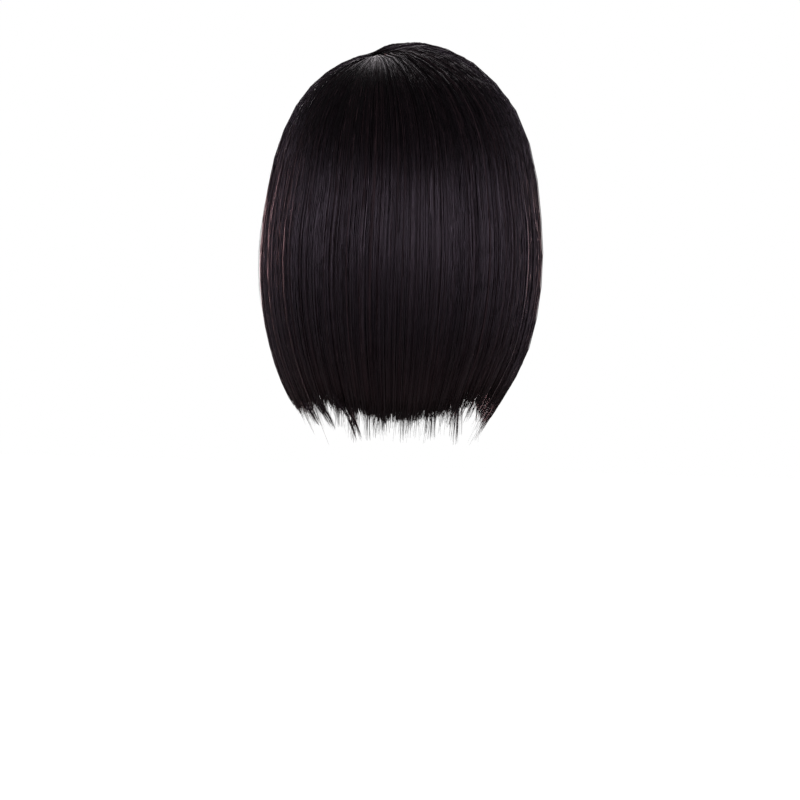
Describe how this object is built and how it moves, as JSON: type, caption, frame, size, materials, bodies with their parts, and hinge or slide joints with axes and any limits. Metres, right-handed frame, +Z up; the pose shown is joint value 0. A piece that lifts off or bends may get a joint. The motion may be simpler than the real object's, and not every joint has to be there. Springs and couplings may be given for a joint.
{
  "type": "lace wig",
  "caption": "Straight chin-length bob wig: hair falling from a left side parting over a net cap with a lace front, open below for the head.",
  "frame": {"origin": "point inside the cap where the crown of the head bears", "axes": "+Z up, wearer faces -Y, wearer's left is +X"},
  "size_m": [0.1965, 0.205, 0.2747],
  "materials": {
    "hair": "straight black hair with a soft sheen",
    "net": "black stretch net",
    "lace": "fine brown tulle"
  },
  "bodies": {
    "root": {"lace_front": "lace", "net_cap": "net", "hair_back": "hair", "hair_left": "hair", "hair_right": "hair", "hair_nape": "hair"}
  },
  "joints": []
}
